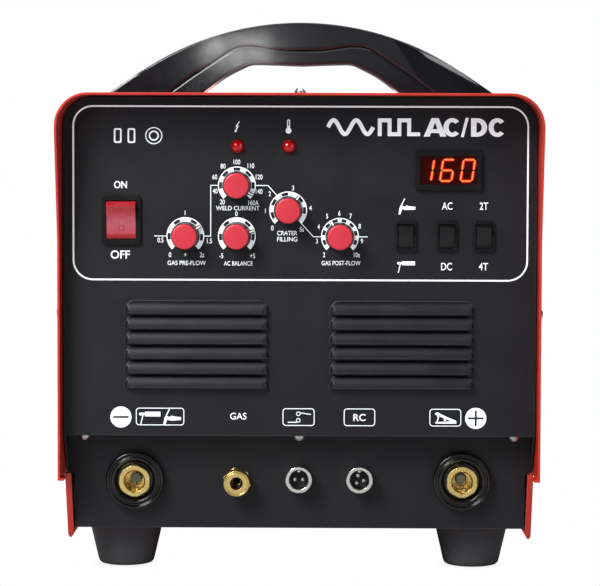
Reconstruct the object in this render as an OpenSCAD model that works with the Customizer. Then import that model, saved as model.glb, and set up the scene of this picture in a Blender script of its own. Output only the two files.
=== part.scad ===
// Portable inverter TIG welding machine. Millimetres, +Z up, front is -Y.
// Origin: on the floor, midway between the sides and midway between front and back.
// Node modules take heights from the drawing datum; up() raises them onto the feet.

/* [Casing] */
// Outer width of the cover
body_w = 320; // [310:1:330]
// Height of the cover's top above the drawing datum
top_z = 318; // [316:1:322]
// Outer radius of the cover's top corners
corner_r = 22; // [16:1:26]
// Sheet metal thickness
sheet = 1.5; // [1.2:0.1:1.6]
// Distance from the centre to the front edge of the cover
front_e = 233; // [231:1:235]
// How far the top of the cover leans forward past its front edge
visor = 19; // [6:1:22]
// Height of the cover's lower edge above the datum
cover_z0 = 61.1; // [58:0.1:66]
/* [Panels] */
// Recess of the upper front panel behind the cover's edge
panel_in = 17; // [15:1:18]
// Height of the upper front panel's lower lip above the datum
lip_z = 89.6; // [86:0.1:92]
// Height of the welding sockets above the datum
sock_z = 57.6; // [54:0.1:58]
// Distance of each welding socket from the centre
sock_x = 110.4; // [106:0.1:114]
/* [Louvres] */
// Number of louvres in each front bank
louvre_n = 6; // [4:1:6]
// Spacing of the louvres
louvre_p = 9.94; // [9.5:0.1:10.4]
// Length of a front louvre
louvre_w = 96.6; // [80:1:98]
/* [Feet and handle] */
// Height of a rubber foot
foot_h = 30; // [26:1:34]
// Sideways distance of each foot from the centre
foot_x = 119.3; // [100:0.1:120]
// Distance of each foot in front of or behind the centre
foot_y = 157; // [140:1:160]
// Top of the handle above the datum
handle_top = 374; // [364:1:380]
// Depth of the handle, front to back
handle_d = 40; // [30:1:50]
/* [Fan] */
// Height of the fan's axis above the datum
fan_z = 180; // [170:1:190]
// Number of fan blades
blades = 7; // [5:1:9]

/* [Hidden] */
$fn = 64;
side_x = body_w/2;              // outside of the cover
inner_x = side_x - sheet;       // inside of the cover
fit = 0.7;                      // gap between the panels and the cover
panel_x = inner_x - fit;        // outside of the panels' side flanges
panel_top = top_z - sheet - fit;
flange_top = top_z - 24;        // top of the panels' side flanges
tray_x = inner_x - 1.5;         // outside of the tray's walls
face_y = -front_e + panel_in;   // upper front panel's outer face
conn_y = -195;                  // connector panel's outer face
rear_y = 216;                   // rear panel's outer face
floor_z = 25;                   // underside of the tray's floor
deck_z = floor_z + sheet + 0.1; // just clear of the top of the tray's floor
shelf_z = lip_z + sheet + 0.1;  // connector panel's shelf, just above the lip
lift = foot_h - floor_z;        // height of the datum above the ground

// screw holes and positions
m4_hole = 2.05;
m5_hole = 2.55;
end_screw_y = 206;              // cover to panels, in front and behind
end_screw_z = 171;
low_screw_y = 110;              // cover to tray
low_screw_z = 74;
floor_front_y = -184;           // panels to tray
floor_rear_y = 206;
shell_screw_x = 125;            // handle
liner_screw_x = 88;

// [x, z] places; a knob's third value is its pointer angle, clockwise from the top
KNOBS = [[-41.9, 257.1, 121], [-76.2, 223.3, 56], [-41.9, 223.3, 72],
  [-7.7, 240.6, 38], [26.8, 223.1, -30]];
MODE_SWITCHES = [[70.9, 223.6], [98.1, 223.6], [122.8, 223.6]];
POWER_SWITCH = [-118.8, 233.9];
LAMPS = [[-41.5, 283], [-7.3, 283]];
DISPLAY = [98.8, 267.5];
GAS_OUTLET = [-42.2, 56.5];
GAS_INLET = [100, 60];
CORD = [-100, 250];
// the feet and welding sockets stand a little off centre
foot_xs = [-foot_x - 0.8, foot_x - 0.8];
weld_xs = [-sock_x - 0.7, sock_x - 0.7];
control_z = 58.9;
// each control socket: x, then its pins' offsets in x and z
CONTROL_SOCKETS = [[-0.3, [[-2.6, 0], [2.6, 0]]],
  [40.6, [for (a = [110, 230, 350]) [2.9*cos(a), 2.9*sin(a)]]]];

// ---- shapes ----
module rounded_rect(w, h, r) {
  square([w - 2*r, h], center = true);
  square([w, h - 2*r], center = true);
  for (a = [-1, 1], b = [-1, 1]) translate([a*(w/2 - r), b*(h/2 - r)]) circle(r);
}
// extrude a drawing in X and Z along +Y
module extrude_y(y0, y1) {
  translate([0, y1, 0]) rotate([90, 0, 0]) linear_extrude(y1 - y0) children();
}
module rod_y(r, y0, y1, sides = $fn) {
  translate([0, y1, 0]) rotate([90, 0, 0]) cylinder(r = r, h = y1 - y0, $fn = sides);
}
module rod_x(r, x0, x1, sides = $fn) {
  translate([x0, 0, 0]) rotate([0, 90, 0]) cylinder(r = r, h = x1 - x0, $fn = sides);
}
// solid of revolution about the Y axis: points are [radius, y]
module turn_y(points) rotate([-90, 0, 0]) rotate_extrude() polygon(points);
module box(low, high) translate(low) cube(high - low);
// extrude points in [y, z] along +X
module prism_x(x0, x1, points) {
  translate([x0, 0, 0]) rotate([90, 0, 90]) linear_extrude(x1 - x0) polygon(points);
}
module both_sides() for (side = [0, 1]) mirror([side, 0, 0]) children();
// casing section, from z0 up: half width, top and corner radius
module arch(half_w, top, r, z0) {
  translate([-half_w, z0]) square([2*half_w, top - r - z0]);
  translate([-half_w + r, z0]) square([2*half_w - 2*r, top - z0]);
  for (side = [-1, 1]) translate([side*(half_w - r), top - r]) circle(r, $fn = 96);
}
// pan head screw with a cross slot, pointing along +Z with the head below z = 0
module screw(r, length, head_r, head_h) difference() {
  union() {
    cylinder(r = r, h = length);
    translate([0, 0, -head_h*0.55]) cylinder(r = head_r, h = head_h*0.55);
    translate([0, 0, -head_h]) cylinder(r1 = head_r*0.62, r2 = head_r, h = head_h*0.45);
  }
  for (a = [0, 90]) rotate(a)
    translate([-head_r*0.55, -0.45, -head_h - 1]) cube([head_r*1.1, 0.9, 1 + head_h*0.6]);
}
module m5_screw(length) screw(2.5, length, 4.7, 3.4);
module m4_screw(head_r, head_h) screw(2, 8, head_r, head_h);
// hexagonal nut: r is to the corners
module nut(r, bore_r, y0, y1) difference() {
  rod_y(r, y0, y1, 6);
  rod_y(bore_r, y0 - 1, y1 + 1);
}

// ---- places: y = 0 of the children lies on the panel's outer face ----
module at_face(p) translate([p.x, face_y, p.y]) children();
module at_conn(p) translate([p.x, conn_y, p.y]) children();
module at_rear(p) translate([p.x, rear_y, p.y]) children();
module weld_sites() for (x = weld_xs) at_conn([x, sock_z]) children();
module control_sites() for (c = CONTROL_SOCKETS) at_conn([c[0], control_z]) children();
module control_pin_sites() for (c = CONTROL_SOCKETS, pin = c[1])
  at_conn([c[0] + pin.x, control_z + pin.y]) children();
module foot_sites() for (x = foot_xs, y = [-foot_y, foot_y]) translate([x, y, 0]) children();
module floor_sites(y) for (x = [-80, 0, 80]) translate([x, y, 0]) children();
module lip_sites() for (x = [-144.3, 0, 144.3]) translate([x, face_y + 7, lip_z]) children();
module fan_corners() for (x = [-52.5, 52.5], z = [-52.5, 52.5]) translate([x, 0, z]) children();

module floor_holes(y) floor_sites(y) cylinder(r = m4_hole, h = 60);
module lip_holes(r) lip_sites() translate([0, 0, -5]) cylinder(r = r, h = 12);
module side_holes(y, z, r) translate([0, y, z]) rod_x(r, -side_x - 5, side_x + 5);
// the top hole and both side holes that join the cover to a panel
module end_holes(y, r) {
  translate([0, y, top_z - 10]) cylinder(r = r, h = 12);
  side_holes(y, end_screw_z, r);
}

// ---- louvres ----
function mirrored(points) =
  concat(points, [for (i = [len(points) - 1:-1:0]) [-points[i].x, points[i].y]]);
// symmetrical outline whose ends curve in as it rises from start to rise
module round_ended(width, end, start, rise) {
  polygon(mirrored(concat([[width/2, start]], [for (a = [0:22.5:90])
    [width/2 - end + end*cos(a), rise*sin(a) + sign(rise)*0.001]])));
}
module blister(width, height, bulge, end, z0) intersection() {
  prism_x(-width/2, width/2, concat([[0.2, z0], [-bulge, z0]],
    [for (a = [15:15:90]) [-bulge*cos(a), height*sin(a)]], [[0.2, height]]));
  translate([0, 0, z0 - 1]) linear_extrude(height - z0 + 2)
    round_ended(width, end, 0.2, -bulge);
  extrude_y(-bulge - 1, 1) round_ended(width, end, z0 - 1, height);
}
// pressed louvre, open along its lower edge at z = 0 and bulging out along -Y;
// end is the length of each rounded end
module louvre(width, height, bulge, end) difference() {
  blister(width, height, bulge, end, 0);
  blister(width - 2.4, height - 1.3, bulge - 1.2, end - 1.2, -1);
}
module side_louvre_sites() both_sides() for (y = [-72, 92], i = [0:6])
  translate([side_x, y, 128 + i*17]) rotate(90) children();
module front_louvre_sites() for (side = [-1, 1], i = [0:louvre_n - 1])
  at_face([side*68.4, 121.9 + i*louvre_p]) children();

// ---- casing ----
module cover() color("firebrick") {
  difference() {
    extrude_y(-front_e - visor, front_e) difference() {
      arch(side_x, top_z, corner_r, cover_z0);
      arch(inner_x, top_z - sheet, corner_r - sheet, cover_z0 - 1);
    }
    // leaves the front edge upright below and leaning forward above
    prism_x(-side_x - 1, side_x + 1, [[-front_e - 40, 0], [-front_e, 0], [-front_e, 220],
      [-front_e - visor, 294], [-front_e - visor, 400], [-front_e - 40, 400]]);
    for (y = [-end_screw_y, end_screw_y]) end_holes(y, 2.3);
    for (y = [-low_screw_y, low_screw_y]) side_holes(y, low_screw_z, 2.3);
    for (x = handle_screw_xs) translate([x, 0, top_z - 5]) cylinder(r = 2.8, h = 10);
    side_louvre_sites() box([-50, -0.5, 0.4], [50, sheet + 1, 6]);
  }
  side_louvre_sites() louvre(106, 10, 3.4, 8);
  // small tabs turned in at the lower front corners
  both_sides()
    box([inner_x - 2.4, -front_e, cover_z0], [inner_x + 0.1, -214.2, cover_z0 + sheet]);
}

tray_front_y = -193.2;
tray_rear_y = 213.8;
// side wall: y, z
TRAY_WALL = [[-213, 63.5], [-213, 60.6], [-195, 21.4], [209, 21.4], [tray_rear_y, 30],
  [tray_rear_y, 86], [tray_front_y, 86], [tray_front_y, 61.1], [-195.7, 61.1], [-197.6, 63.5]];
// sloping strip at the front of each wall: y, z
TRAY_STRIP = [[-213, 63.5], [-213, 60.6], [tray_front_y, 17.5], [-191.5, 17.5],
  [-211.3, 60.6], [-211.3, 63.5]];
// limits of that strip seen from the front: x, z
TRAY_STRIP_FRONT = [[152, 22.7], [155.1, 17.5], [156, 17.5], [158, 21], [158, 70], [152, 70]];
// fold along the tray's lower corner: x, z
TRAY_FOLD = [[157, 21.6], [155.4, 17.5], [154.7, 17.5], [150.8, 24], [150.8, 26.5],
  [152.4, 26.5], [152.4, 24.6], [155.1, 20.1], [155.5, 21.6]];
module base_tray() color("firebrick") difference() {
  floor_x = side_x - 2*sheet - 1;
  union() {
    both_sides() {
      prism_x(tray_x - sheet, tray_x, TRAY_WALL);
      intersection() {
        prism_x(153, tray_x, TRAY_STRIP);
        extrude_y(-214, -190) polygon(TRAY_STRIP_FRONT);
      }
      extrude_y(tray_front_y, 209) polygon(TRAY_FOLD);
    }
    box([-floor_x, tray_front_y, floor_z], [floor_x, tray_rear_y, floor_z + sheet]);
  }
  foot_sites() cylinder(r = m5_hole, h = 60);
  for (y = [-low_screw_y, low_screw_y]) side_holes(y, low_screw_z, m4_hole);
  for (y = [floor_front_y, floor_rear_y]) floor_holes(y);
  for (x = [-60:15:60], y = [-90:15:-30]) translate([x, y, 0]) cylinder(r = 4, h = 60);
}

module panel_outline(z0) arch(panel_x, panel_top, corner_r - sheet - fit, z0);
// side flanges from z0 up and a top flange, reaching back from y
module panel_flanges(y, z0) {
  both_sides() box([panel_x - sheet, y, z0], [panel_x, y + 26, flange_top]);
  box([-130, y, panel_top - sheet], [130, y + 26, panel_top]);
}
module window(p, w, h) at_face(p) box([-w/2, -1, -h/2], [w/2, sheet + 1, h/2]);
module front_panel() color([0.13, 0.13, 0.14]) {
  difference() {
    union() {
      extrude_y(face_y, face_y + sheet) panel_outline(lip_z);
      both_sides() prism_x(panel_x - sheet, panel_x, [[face_y, lip_z], [face_y, flange_top],
        [face_y + 20, flange_top], [face_y + 20, 64.8], [face_y + 19.5, 64.8]]);
      panel_flanges(face_y, 92);
      box([-panel_x, face_y, lip_z], [panel_x, conn_y - 0.3, lip_z + sheet]);
    }
    window(POWER_SWITCH, 22, 28);
    for (p = MODE_SWITCHES) window(p, 12.4, 18.2);
    window(DISPLAY, 41.2, 23.2);
    for (p = concat(KNOBS, LAMPS)) at_face(p) rod_y(3.55, -1, sheet + 1);
    front_louvre_sites()
      box([-louvre_w/2 + 6, -0.5, 0.4], [louvre_w/2 - 6, sheet + 1, 4.6]);
    lip_holes(2.2);
    end_holes(-end_screw_y, m4_hole);
  }
  front_louvre_sites() louvre(louvre_w, 8.4, 5.2, 6);
}
module connector_panel() color([0.14, 0.14, 0.15]) difference() {
  half_w = 152.5;
  shelf_top = shelf_z + sheet;
  union() {
    box([-half_w, conn_y, floor_z - 0.4], [half_w, conn_y + sheet, shelf_top]);
    // wider above the cover's lower edge
    box([-157.6, conn_y, cover_z0 + 0.4], [157.6, conn_y + sheet, lip_z + sheet + 0.6]);
    box([-half_w, face_y + 2.2, shelf_z], [half_w, conn_y + sheet, shelf_top]);
    both_sides() box([half_w - sheet, conn_y, deck_z], [half_w, conn_y + 18, shelf_top]);
    box([-150, conn_y, deck_z], [150, conn_y + 18, deck_z + sheet]);
  }
  weld_sites() rod_y(14, -5, 5);
  at_conn(GAS_OUTLET) rod_y(6.1, -5, 5);
  control_sites() rod_y(8.1, -5, 5);
  lip_holes(m4_hole);
  floor_holes(floor_front_y);
}
module rear_panel() color([0.14, 0.14, 0.15]) difference() {
  union() {
    // narrower below z = 90
    extrude_y(rear_y - sheet, rear_y) intersection() {
      panel_outline(deck_z);
      translate([-152.5, 0]) square([305, 400]);
    }
    extrude_y(rear_y - sheet, rear_y) panel_outline(90);
    panel_flanges(rear_y - 26, 90);
    box([-150, rear_y - 18, deck_z], [150, rear_y, deck_z + sheet]);
  }
  at_rear([0, fan_z]) {
    rod_y(57, -5, 5);
    fan_corners() rod_y(2.2, -5, 5);
  }
  at_rear(CORD) rod_y(10.1, -5, 5);
  at_rear(GAS_INLET) rod_y(6.1, -5, 5);
  floor_holes(floor_rear_y);
  end_holes(end_screw_y, m4_hole);
  // a grid of round holes on each side of the fan
  for (x0 = [-130, 80], x = [x0:10:x0 + 50], z = [110:10:170]) at_rear([x, z]) rod_y(3, -5, 5);
}

// ---- handle ----
handle_x = -1.4;                // the handle stands this far off centre
handle_r = 212;                 // radius of its outer arc
arc_z = handle_top - handle_r;  // centre of that arc
handle_y = handle_d/2;          // its faces
hollow_y = handle_y - 3.2;      // ends of the hollows inside it
handle_screw_xs = [for (x = [-shell_screw_x, -liner_screw_x, liner_screw_x, shell_screw_x])
  handle_x + x];
// right halves, from the centre outward: x, drop below the handle's top
PARTING = [[0, 20.2], [15, 19.7], [28, 18.1], [37, 16.8], [46, 17.4], [53, 20.2], [62, 26.1],
  [79.5, 37.6], [91.5, 46.2], [104, 55.4]];
OPENING = [[0, 31.3], [20, 30.5], [33.5, 30.2], [39, 30.9], [45.6, 33.9], [51.7, 36.9],
  [57, 40], [61.7, 43.2], [65.8, 46.4], [75.5, 53.9]];
// Catmull-Rom spline through p, at fraction t of the span that starts at point i
function spline_point(p, i, t) =
  let (a = p[max(i - 1, 0)], b = p[i], c = p[min(i + 1, len(p) - 1)],
    d = p[min(i + 2, len(p) - 1)])
  0.5*((2*b) + (c - a)*t + (2*a - 5*b + 4*c - d)*t*t + (3*b - a - 3*c + d)*t*t*t);
function spline(p) =
  [for (i = [0:len(p) - 2], t = [0:0.25:0.75]) spline_point(p, i, t), p[len(p) - 1]];
// everything under a line, with the line lowered by drop
module under(line, drop) {
  c = spline(line);
  last = len(c) - 1;
  base = top_z - 30;
  polygon(concat([[-c[last].x, base]],
    [for (i = [last:-1:1]) [-c[i].x, handle_top - c[i].y - drop]],
    [for (q = c) [q.x, handle_top - q.y - drop]], [[c[last].x, base]]));
}
// outer arc, straight near its feet
module handle_outline() intersection() {
  union() {
    translate([0, arc_z]) circle(handle_r, $fn = 240);
    polygon([[-149.5, top_z - 1], [-118, handle_top - 35.6],
      [118, handle_top - 35.6], [149.5, top_z - 1]]);
  }
  translate([-200, top_z]) square([400, 200]);
}
module handle_holes(x) for (side = [-1, 1])
  translate([side*x, 0, top_z - 1]) cylinder(r = m5_hole, h = 11);
module handle_shell() color([0.08, 0.08, 0.09]) translate([handle_x, 0, 0]) difference() {
  extrude_y(-handle_y, handle_y) difference() {
    handle_outline();
    under(PARTING, 0);
  }
  extrude_y(-hollow_y, hollow_y) difference() {
    intersection() {
      translate([0, arc_z]) circle(handle_r - 3.5, $fn = 240);
      translate([-118, top_z + 14]) square([236, 90]);
    }
    under(PARTING, -1.5);
  }
  // opens the hollow through the parting line
  extrude_y(-hollow_y, hollow_y) intersection() {
    difference() {
      under(PARTING, -4);
      under(PARTING, 0.5);
    }
    translate([-90, top_z + 14]) square([180, 90]);
  }
  handle_holes(shell_screw_x);
}
module handle_liner() color([0.08, 0.08, 0.09]) translate([handle_x, 0, 0]) difference() {
  extrude_y(-handle_y, handle_y) difference() {
    intersection() {
      under(PARTING, 0.35);
      translate([-200, top_z]) square([400, 200]);
    }
    under(OPENING, 0);
  }
  extrude_y(-hollow_y, hollow_y) intersection() {
    difference() {
      under(PARTING, -1);
      under(OPENING, -3.2);
    }
    translate([-78, top_z + 12]) square([156, 90]);
  }
  // groove along the parting line, front and back
  for (end = [0, 1]) mirror([0, end, 0]) extrude_y(-handle_y - 1, -handle_y + 1.6) difference() {
    under(PARTING, -1);
    under(PARTING, 1.5);
  }
  handle_holes(liner_screw_x);
}

// ---- feet and screws ----
// foot section: radius, z
FOOT = [[7, -lift], [16, -lift], [17.5, 0.4 - lift], [18.6, 1.4 - lift], [19.3, 3 - lift],
  [19.8, 5 - lift], [25.6, floor_z - 0.1], [2.6, floor_z - 0.1], [2.6, 13], [7, 13]];
module feet() color([0.2, 0.2, 0.21]) foot_sites() rotate_extrude() polygon(FOOT);
module m5_screws() color("silver") {
  foot_sites() translate([0, 0, 12.9]) m5_screw(18);
  for (x = handle_screw_xs) translate([x, 0, top_z - sheet - 0.1]) m5_screw(10);
}
module side_screws(y, z) both_sides()
  translate([side_x + 0.02, y, z]) rotate([0, -90, 0]) m4_screw(3.9, 2.9);
module m4_screws() color("silver") {
  lip_sites() translate([0, 0, -0.02]) m4_screw(3.8, 3.6);
  floor_sites(floor_front_y) translate([0, 0, floor_z - 0.02]) m4_screw(3.9, 1.7);
  floor_sites(floor_rear_y) translate([0, 0, floor_z - 0.02]) m4_screw(3.9, 2.7);
  for (y = [-end_screw_y, end_screw_y]) {
    translate([0, y, top_z + 0.02]) rotate([180, 0, 0]) m4_screw(3.7, 3.9);
    side_screws(y, end_screw_z);
  }
  for (y = [-low_screw_y, low_screw_y]) side_screws(y, low_screw_z);
  at_rear([0, fan_z]) fan_corners() translate([0, 2.6, 0]) rotate([90, 0, 0]) m4_screw(3.9, 2.7);
}

// ---- switches ----
power_pivot = 0.5;              // rocker pivots, behind the panel's face
mode_pivot = 0.2;
// size and opening are [width, height]; bezel is its thickness
module switch_frame(size, opening, bezel, depth, pivot) difference() {
  union() {
    extrude_y(-bezel, 0) rounded_rect(size.x, size.y, 2);
    extrude_y(0, depth) square([opening.x + 1.8, opening.y + 1.8], center = true);
  }
  extrude_y(-bezel - 1, depth - 1.5) square(opening, center = true);
  translate([0, pivot, 0]) rod_x(1.05, -opening.x/2 - 0.75, opening.x/2 + 0.75);
}
module terminals(half_w, pitch, y0, y1) for (i = [-1:1])
  box([-half_w, y0, i*pitch - 0.4], [half_w, y1, i*pitch + 0.4]);
// rocker pressed at the top: width, end radius, distance of the valley in front of
// the pivot and of the flat back behind it
module rocker(w, r, valley, back) {
  tilt = 14;
  m = tan(tilt);
  rotate([tilt, 0, 0]) {
    difference() {
      rod_x(r, -w/2, w/2, 128);
      prism_x(-w, w, [[-valley, 0], [-valley - 20*m, 20], [-40, 20], [-40, -20],
        [-valley - 20*m, -20]]);
      prism_x(-w, w, [[back, -20], [back, 20], [40, 20], [40, -20]]);
    }
    rod_x(1, -w/2 - 0.7, w/2 + 0.7);
  }
}
module power_switch_frame() color([0.1, 0.1, 0.11]) at_face(POWER_SWITCH) {
  switch_frame([26, 33], [19.9, 25.9], 2.3, 24, power_pivot);
  terminals(3.2, 8, 24, 33);
}
module mode_switch_frames() color([0.1, 0.1, 0.11]) for (p = MODE_SWITCHES) at_face(p) {
  switch_frame([14, 20.8], [10.4, 15.9], 1.8, 15, mode_pivot);
  terminals(2.4, 5, 15, 22);
}
module power_rocker() color([0.8, 0.2, 0.25])
  at_face(POWER_SWITCH) translate([0, power_pivot, 0]) rocker(19.5, 12.7, 3.1, 4);
module mode_rocker(p) color([0.09, 0.09, 0.1])
  at_face(p) translate([0, mode_pivot, 0]) rocker(10, 7.75, 2.2, 3);

// ---- display and lamps ----
module plate(w, h, y0, y1) extrude_y(y0, y1) square([w, h], center = true);
module display_bezel() color([0.08, 0.08, 0.09]) at_face(DISPLAY) difference() {
  union() {
    extrude_y(-3, 0) rounded_rect(44.6, 26.5, 1.5);
    plate(41, 23, 0, 12);
  }
  plate(37.6, 18.6, -4, 13);
  plate(38.6, 20.6, -1, 13);
}
module display_lens() color([0.35, 0.02, 0.02, 0.6]) at_face(DISPLAY) {
  plate(37.4, 18.4, -2.4, -0.9);
  plate(38.4, 20.4, -0.95, 0.2);
}
module display_module() color([0.15, 0.02, 0.02]) at_face(DISPLAY) {
  plate(37.8, 19.2, 1.6, 8);
  plate(38.2, 20.2, 8, 9.6);
}
module indicator_lamps() color([0.6, 0, 0]) for (p = LAMPS) at_face(p)
  turn_y([[0, -4.8], [1.6, -4.6], [3.1, -3.8], [4.2, -2.5], [4.7, -1.2], [4.9, 0], [3.5, 0],
    [3.5, 10], [0, 10]]);

// ---- sockets ----
module weld_socket_collars() color([0.06, 0.06, 0.07]) weld_sites()
  turn_y([[12.2, -4], [12.2, -6.5], [14.2, -8.5], [15.6, -8.5], [16, -7.4], [17.2, -7.4],
    [17.7, -8.5], [18.6, -8.5], [19.5, -7.5], [19.7, -6], [19.7, 0], [13.8, 0],
    [13.8, sheet], [10.1, sheet], [10.1, -4]]);
module weld_socket_bodies() color([0.8, 0.7, 0.4]) weld_sites() difference() {
  union() {
    intersection() {
      rotate([0, 30, 0]) rod_y(11.66, -11, -4.05, 6);
      turn_y([[0, -11], [10.3, -11], [10.8, -10.4], [10.8, -4], [0, -4]]);
    }
    rod_y(10, -5, 23);
  }
  rod_y(6.5, -12, 5);
  rod_y(5, 0, 10);
  turn_y([[0, -12], [8.2, -12], [6.4, -9.6], [0, -9.6]]);
  translate([0, 0, -6.2]) rod_y(2.1, -12, -1);
  rod_y(4.05, 0, 40);
}
module weld_socket_bolts() color("silver") weld_sites() {
  rod_y(4, 10.6, 29);
  rod_y(3.3, 5.4, 11);
  rod_y(7.5, 26.2, 31.5, 6);
}
module panel_nuts() color([0.8, 0.72, 0.45]) {
  nut_y = sheet + 0.05;
  weld_sites() nut(16.5, 10.05, nut_y, 9);
  for (k = KNOBS) at_face(k) nut(5.7, 3.45, -2.2, -0.02);
  at_conn(GAS_OUTLET) nut(9.2, 6.05, nut_y, 6.5);
  control_sites() nut(10.9, 8.05, nut_y, 4.5);
}
module gas_outlet() color([0.85, 0.72, 0.4]) at_conn(GAS_OUTLET) difference() {
  union() {
    rotate([0, 18, 0]) rod_y(9.7, -3, 0, 6);
    turn_y([[0, -14], [7.2, -14], [7.5, -13.5], [7.8, -14], [8.3, -14], [8.9, -13.3],
      [8.9, -4.6], [8.3, -4], [8.3, -2.5], [0, -2.5]]);
    rod_y(6, -1, 12);
    turn_y([[0, 11], [3.6, 11], [3.6, 16], [4.3, 17], [3.4, 22], [0, 22]]);
  }
  rod_y(4.35, -15, -4);
  rod_y(2.35, -15, 30);
}
module control_socket_shells() color([0.8, 0.8, 0.78]) control_sites() difference() {
  union() {
    turn_y([[6.2, -11.2], [6.9, -12], [8.5, -12], [9.1, -11.4], [9.1, 0], [8, 0], [8, 9],
      [6.2, 9]]);
    translate([0, 0, 6]) rod_y(1, -11, -5.05);
  }
  translate([0, 0, -8.9]) rod_y(0.5, -13, -9);
}
module control_socket_inserts() color([0.07, 0.07, 0.07]) difference() {
  control_sites() rod_y(6.15, -5, 8);
  control_pin_sites() rod_y(1.02, -20, 30);
}
module control_socket_pins() color("silver") control_pin_sites() rod_y(1, -10, 13);

// ---- knobs ----
module knob(k) color([0.07, 0.07, 0.08]) at_face(k) rotate([0, k.z, 0]) difference() {
  union() {
    turn_y([[0, -0.8], [9.6, -0.8], [9.6, -2.6], [8.9, -4], [8.7, -12.6], [8.2, -13.6],
      [0, -13.6]]);
    // pointer
    prism_x(-1.1, 1.1, [[-0.8, 8], [-0.8, 12.2], [-2.4, 12.2], [-4.6, 8.2]]);
  }
  turn_y([[0, 0], [6.6, 0], [6.6, -5.2], [0, -5.2]]);
  rod_y(3.04, -11, 0);
  turn_y([[7, -12.2], [7, -20], [0, -20], [0, -12.2]]);
}
module cap(k) color([0.88, 0.3, 0.35]) at_face(k)
  turn_y([[0, -12.3], [6.95, -12.3], [6.95, -13.65], [8.35, -13.65], [8.45, -14.4],
    [8.1, -15.2], [7.3, -15.6], [0, -15.9]]);
// control shaft with a flat at its front end
module shaft(k) color("silver") at_face(k) rotate([0, k.z, 0]) difference() {
  union() {
    rod_y(3, -10.8, 9.4);
    rod_y(4.4, 7.4, 9.4);
  }
  box([-4, -11, 1.6], [4, -5, 4]);
}
module pot_bodies() color([0.3, 0.32, 0.35]) for (k = KNOBS) at_face(k) difference() {
  union() {
    rod_y(8.2, sheet + 0.05, 12);
    rod_y(3.4, -4.6, 4);
  }
  rod_y(3.05, -9, 8);
  rod_y(4.5, 7.3, 9.5);
}

// ---- fan: y = 0 at the front of its frame ----
fan_d = 24.4;
module at_fan() translate([0, 190, fan_z]) children();
module fan_frame() color([0.12, 0.12, 0.13]) at_fan() difference() {
  union() {
    difference() {
      extrude_y(0, fan_d) rounded_rect(119, 119, 5);
      rod_y(57.8, -1, fan_d + 1);
    }
    rod_y(19, 0, 3);
    // struts
    intersection() {
      rod_y(59, 0, 3);
      for (a = [20, 110, 200, 290]) rotate([0, a, 0]) box([15, 0, -2.5], [70, 3, 2.5]);
    }
    rod_y(4, 0, 12);
  }
  fan_corners() rod_y(m4_hole, -1, fan_d + 1);
  rod_y(1.55, 2, fan_d + 1);
}
module fan_rotor() color([0.1, 0.1, 0.11]) at_fan() {
  difference() {
    rod_y(19, 4.5, fan_d - 1.5);
    rod_y(16.5, 4, fan_d - 4);
  }
  rod_y(1.5, 2.6, fan_d - 2);
  intersection() {
    for (i = [0:blades - 1]) rotate([0, i*360/blades, 0])
      translate([0, fan_d/2 + 1.5, 0]) rotate([38, 0, 0]) box([17.5, -17, -0.9], [60, 17, 0.9]);
    difference() {
      rod_y(56.3, 4.6, fan_d - 1.6);
      rod_y(17.5, 0, fan_d);
    }
  }
}
module fan_guard() color("silver") at_rear([0, fan_z]) {
  for (r = [16, 27, 38, 49, 58]) translate([0, 4.4, 0]) rotate([90, 0, 0])
    rotate_extrude() translate([r, 0]) circle(1.2, $fn = 24);
  for (a = [45, 135, 225, 315]) translate([0, 2.1, 0]) rotate([0, a, 0]) rod_x(1.25, 15, 69.8);
  fan_corners() difference() {
    rod_y(5.2, 1.2, 2.5);
    rod_y(2.15, 0, 9);
  }
}

// ---- rear fittings ----
module cord_gland() color([0.1, 0.1, 0.11]) at_rear(CORD)
  turn_y([[5.1, -12], [10, -12], [10, 0.02], [13.5, 0.02], [13.5, 4], [12, 5], [12, 11.5],
    [10.6, 13.5], [8, 15], [5.1, 15]]);
// the cord leaves the gland, bends and hangs down
module power_cord() color([0.08, 0.08, 0.09]) {
  cord_r = 5;
  bend_r = 16;
  bend_y = 15;
  bend_z = CORD.y - bend_r;
  end_z = 20;
  at_rear(CORD) rod_y(cord_r, -30, bend_y);
  at_rear([CORD.x, bend_z]) translate([0, bend_y, 0]) rotate([0, 0, 90]) rotate([90, 0, 0])
    rotate_extrude(angle = 90) translate([bend_r, 0]) circle(cord_r);
  at_rear([CORD.x, end_z]) translate([0, bend_y + bend_r, 0])
    cylinder(r = cord_r, h = bend_z - end_z);
}
module gas_inlet() color([0.85, 0.72, 0.4]) at_rear(GAS_INLET) difference() {
  union() {
    rod_y(9.5, 0.02, 6, 6);
    rod_y(6, -14, 1);
    turn_y([[0, 5], [5, 5], [5, 26], [4.2, 28.8], [0, 28.8]]);
    turn_y([[0, -26], [3.4, -26], [4.3, -21], [3.6, -20], [3.6, -13], [0, -13]]);
  }
  rod_y(2.4, -40, 40);
}

// ---- inside ----
board_z = 196;                  // underside of the power board
board_top = board_z + 1.8;
module control_board() color([0.1, 0.4, 0.2]) translate([0, face_y, 0]) {
  box([-128, 40, 196], [138, 41.6, 300]);
  for (x = [-70, -20, 30, 80], z = [215, 260]) box([x, 41.6, z], [x + 22, 48, z + 12]);
  for (x = [-110, 120], z = [205, 290]) translate([x, 0, z]) rod_y(3, 1.6, 40);
}
module power_board() color([0.12, 0.42, 0.22]) {
  post_z = 28 + sheet;
  box([-140, -90, board_z], [140, 150, board_top]);
  for (x = [-134, 134], y = [-84, 144])
    translate([x, y, post_z]) cylinder(r = 4, h = board_z - post_z);
  for (x = [40, 80], y = [-50, 20, 90]) box([x, y, board_top], [x + 26, y + 30, 210]);
}
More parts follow.
